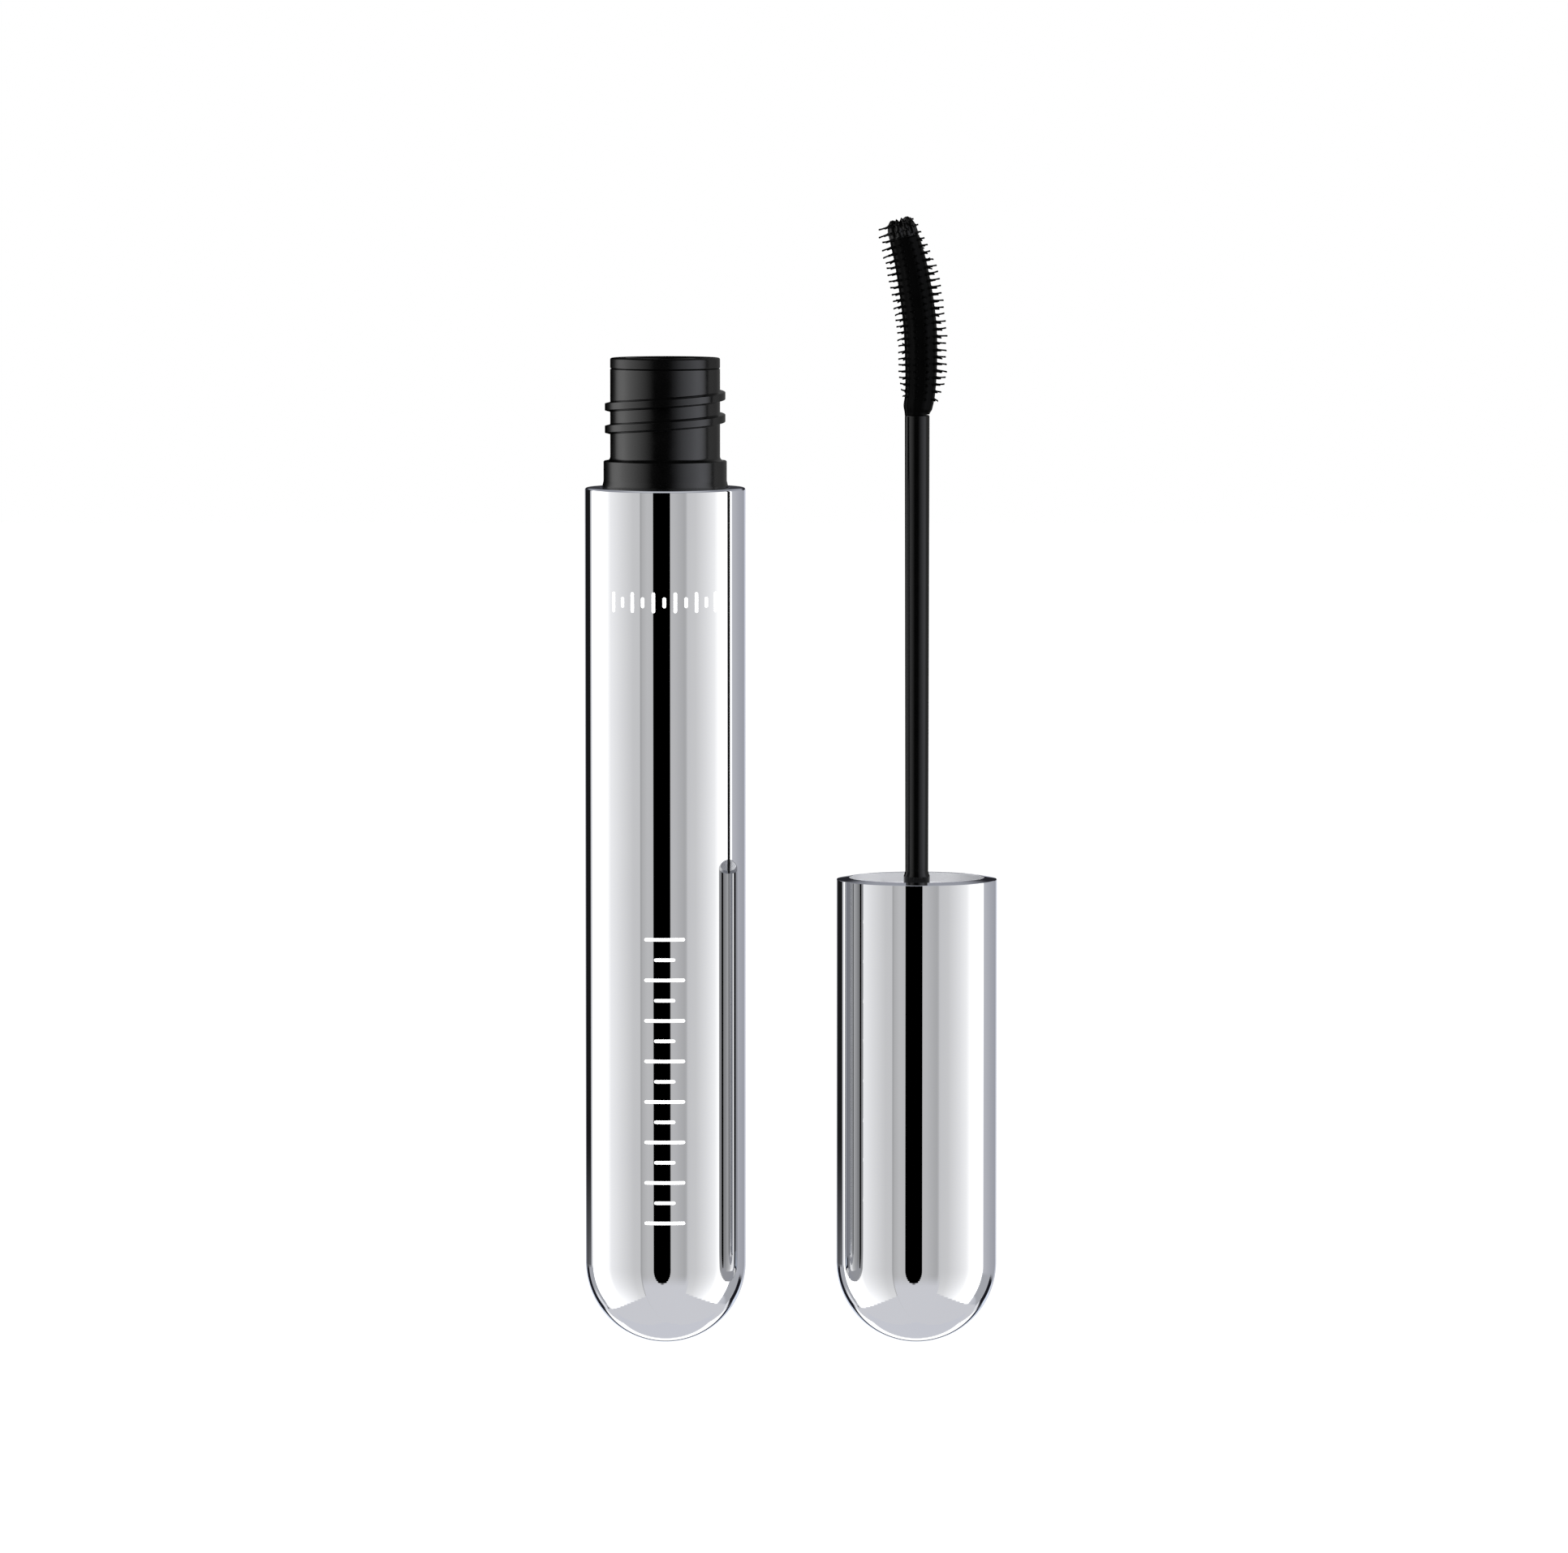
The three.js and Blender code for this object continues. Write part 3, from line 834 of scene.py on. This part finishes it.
# ---- The wand ----
def stem():
    """The rod, with the slightly wider collar that stands out of the cap's mouth."""
    collar_r, collar_top = STEM_R + 0.07 * MM, MOUTH + 0.45 * MM
    outline = rounded([
        (0, STEM_LOW.z),
        (STEM_R, STEM_LOW.z, 0.2 * MM),
        (STEM_R, LINER_FLOOR + 0.3 * MM, 0.02 * MM),
        (collar_r, LINER_FLOOR + 0.5 * MM, 0.02 * MM),
        (collar_r, collar_top - 0.1 * MM, 0.25 * MM),
        (STEM_R - 0.11 * MM, collar_top + 0.45 * MM, 0.4 * MM),
        (STEM_R - 0.01 * MM, STEM_HIGH.z, 0.18 * MM),
        (0, STEM_HIGH.z),
    ])
    return lathe("stem_rod", outline, CAP_X, 96)


# The brush's centre line, as (across, up) from the end of the stem: it bows right and its tip leans left.
BOW = [(0, 0), (0.05, 0.6), (0.32, 2.2), (0.43, 6), (0.24, 10.5), (-0.64, 16.3), (-1.42, 19.5), (-2.05, 21.7)]
BRUSH_BASE = STEM_HIGH.z + 0.15 * MM
BRUSH_LENGTH = BOW[-1][1] * MM
GROOVE_AT = 19.7 * MM         # the ring cut below the tip


def bow(up):
    """(across, slope) of the centre line at a height above the brush's base: a smooth curve through BOW."""
    ups = [p[1] * MM for p in BOW]
    acrosses = [p[0] * MM for p in BOW]
    last = len(BOW) - 1
    slopes = []
    for k in range(len(BOW)):
        low, high = max(0, k - 1), min(last, k + 1)
        slopes.append((acrosses[high] - acrosses[low]) / (ups[high] - ups[low]))
    slopes[0] = 0
    k = max(i for i in range(last) if ups[i] <= up or i == 0)
    span = ups[k + 1] - ups[k]
    t = (up - ups[k]) / span
    across = (
        (2 * t**3 - 3 * t**2 + 1) * acrosses[k] + (t**3 - 2 * t**2 + t) * span * slopes[k]
        + (3 * t**2 - 2 * t**3) * acrosses[k + 1] + (t**3 - t**2) * span * slopes[k + 1]
    )
    slope = (
        (6 * t**2 - 6 * t) * (acrosses[k] - acrosses[k + 1]) / span + (3 * t**2 - 4 * t + 1) * slopes[k]
        + (3 * t**2 - 2 * t) * slopes[k + 1]
    )
    return across, slope


def brush_frame(up):
    across, slope = bow(up)
    centre = Vector((CAP_X + across, 0, BRUSH_BASE + up))
    tangent = Vector((slope, 0, 1)).normalized()
    side = Vector((tangent.z, 0, -tangent.x))
    return centre, tangent, side


def core_radius(up):
    along = up / BRUSH_LENGTH
    middle = (1.6 + 0.26 * math.sin(math.pi * min(1, max(0, along)))) * MM
    base = 0.875 + 0.125 * smooth(up, -0.05 * MM, 0.8 * MM)
    groove = 1 - 0.1 * math.exp(-(((up - GROOVE_AT) / (0.1 * MM)) ** 2))
    tip = math.sqrt(max(0, 1 - max(0, (along - 0.94) / 0.065) ** 2))
    narrowest = 0.34
    return middle * base * groove * (narrowest + (1 - narrowest) * tip)


BRISTLE_ROWS = 10
ROW_START = math.radians(252.5)     # one row faces the camera's side, a little to the left


def brush_core():
    """The core: a curved body with a shallow rib under every row of bristles, deeper in the tip, where the
    ribs end in a crown of small points."""
    sides, steps = 120, 240
    start = STEM_HIGH.z - BRUSH_BASE
    vertices, faces = [], []
    for i in range(steps + 1):
        up = start + (BRUSH_LENGTH - start) * i / steps
        centre, tangent, side = brush_frame(up)
        radius = core_radius(up)
        past = smooth(up, GROOVE_AT, GROOVE_AT + 0.4 * MM)
        crown = smooth(up, BRUSH_LENGTH - 1.2 * MM, BRUSH_LENGTH)
        for j in range(sides):
            angle = TURN * j / sides
            rib = 0.5 + 0.5 * math.cos(BRISTLE_ROWS * (angle - ROW_START))
            r = radius * (1 - (0.03 + 0.12 * past) * (1 - rib) ** 2)
            rise = crown * (0.42 * rib - 0.32) * MM
            out = side * (r * math.cos(angle)) + Vector((0, r * math.sin(angle), 0))
            vertices.append(centre + out + tangent * rise)
    for i in range(steps):
        for j in range(sides):
            a, b = i * sides + j, i * sides + (j + 1) % sides
            faces.append([a, b, b + sides, a + sides])
    for i, order in ((0, -1), (steps, 1)):
        first = i * sides
        rim = [vertices[first + j] for j in range(sides)]
        middle = sum(rim, Vector()) / sides - Vector((0, 0, 0.15 * MM if i else 0))
        vertices.append(middle)
        for j in range(sides):
            faces.append([len(vertices) - 1, *[first + j, first + (j + 1) % sides][::order]])
    return vertices, faces


def bristle(up, angle, length, lean, droop):
    """One bristle: a flared root, a slim shank that bends a little, and a blunt, slightly thicker end."""
    sides = 8
    stations = [
        (-0.22, 0.3), (0.0, 0.22), (0.06, 0.165), (0.16, 0.125), (0.35, 0.102), (0.6, 0.09), (0.8, 0.096),
        (0.92, 0.104), (0.98, 0.085), (1.0, 0.04),
    ]
    centre, tangent, side = brush_frame(up)
    out = (side * math.cos(angle) + Vector((0, math.sin(angle), 0))).normalized()
    across = tangent.cross(out)
    root = core_radius(up) * 0.985
    vertices, faces = [], []
    for share, half in stations:
        bend = max(0, share) ** 2
        middle = centre + out * (root + share * length) + tangent * (droop * bend) + across * (lean * bend)
        for k in range(sides):
            turn = TURN * k / sides
            vertices.append(middle + (across * math.cos(turn) + tangent * math.sin(turn)) * (half * MM))
    for i in range(len(stations) - 1):
        for k in range(sides):
            a, b = i * sides + k, i * sides + (k + 1) % sides
            faces.append([a, b, b + sides, a + sides])
    last = (len(stations) - 1) * sides
    faces.append(list(range(sides - 1, -1, -1)))
    faces.append([last + k for k in range(sides)])
    return vertices, faces


def bristle_length(up, angle):
    """Short near the stem, longest near the tip on the left and in the middle on the right."""
    right = 0.5 + 0.5 * math.cos(angle)
    grown = smooth(up, 0.6 * MM, 4.2 * MM)
    left_side = 0.8 + 0.32 * smooth(up, 8 * MM, 19 * MM)
    right_side = 1.12 - 0.86 * smooth(up, 14.5 * MM, 21.5 * MM)
    return (0.2 + 0.8 * grown) * (left_side + (right_side - left_side) * right) * MM


def brush():
    """The core with its rows of bristles. The faces beyond the groove take the tip's glossier finish."""
    chance = random.Random(11)
    vertices, faces = brush_core()
    spacing, start = 0.75 * MM, 1.75 * MM
    count = int((BRUSH_LENGTH - start - 0.4 * MM) / spacing) + 1
    for row in range(BRISTLE_ROWS):
        angle = ROW_START + TURN * row / BRISTLE_ROWS
        shift = chance.uniform(-0.1, 0.1) * MM
        for k in range(count):
            up = start + k * spacing + shift
            length = bristle_length(up, angle) * chance.uniform(0.9, 1.08)
            lean = chance.uniform(-0.1, 0.1) * MM
            droop = chance.gauss(-0.02, 0.07) * MM
            first = len(vertices)
            shape = bristle(up, angle + chance.uniform(-0.04, 0.04), length, lean, droop)
            vertices += shape[0]
            faces += [[first + i for i in face] for face in shape[1]]
    piece = new_mesh("moulded_brush", vertices, faces)
    groove, tangent, _ = brush_frame(GROOVE_AT)
    for face in piece.data.polygons:
        face.material_index = int((face.center - groove).dot(tangent) > 0)
    return piece


# ---- Everything together ----
def build():
    mirror = chrome()
    neck_black = moulded_black("neck_plastic", 0.001, 0.2, 0.0015, 0.75)
    soft_black = moulded_black("wiper_plastic", 0.001, 0.24, 0.0015, 0.6)
    stem_black = moulded_black("stem_plastic", 0.001, 0.16, 0.001, 0.42)
    brush_black = moulded_black("brush_plastic", 0.001, 0.24, 0.002, 0.04)
    liner_black = moulded_black("liner_plastic", 0.008, 0.35, 0.002, 0.5)
    steel, wet, ink = turned_steel(), paste(), white_ink_painted_glow()

    finished(tube_shell(), mirror, "tube", "chrome", "tube_shell")
    finished(bottle(), neck_black, "tube", "neck_black", "bottle")
    finished(wiper(), soft_black, "tube", "wiper_black", "wiper")
    finished(upper_ticks(), ink, "tube", "chrome")
    finished(lower_bars(), ink, "tube", "chrome")
    finished(mixing_ball(), wet, "ball", "mascara", "mixing_ball")
    cap = finished(cap_shell(), mirror, "applicator", "chrome", "cap_shell")
    cap.data.materials.append(bare_plastic_painted_glow())
    finished(cap_liner(), liner_black, "applicator", "liner_black", "cap_liner")
    finished(cap_seal(), seal_foam(), "seal", "seal_white", "cap_seal")
    finished(stem(), stem_black, "applicator", "stem_black", "stem")
    wand_brush = finished(brush(), brush_black, "applicator", "brush_black", "brush")
    wand_brush.data.materials.append(moulded_black("brush_tip_plastic", 0.001, 0.2, 0.002, 0.3))
    for node, material in (("mascara_fill", wet), ("cap_weight", steel)):
        slots = frame["nodes"][node].data.materials
        slots.clear()
        slots.append(material)


add_camera()
add_world()
add_soft_light()
add_floor()
build()
bpy.context.scene.view_settings.view_transform = "Standard"
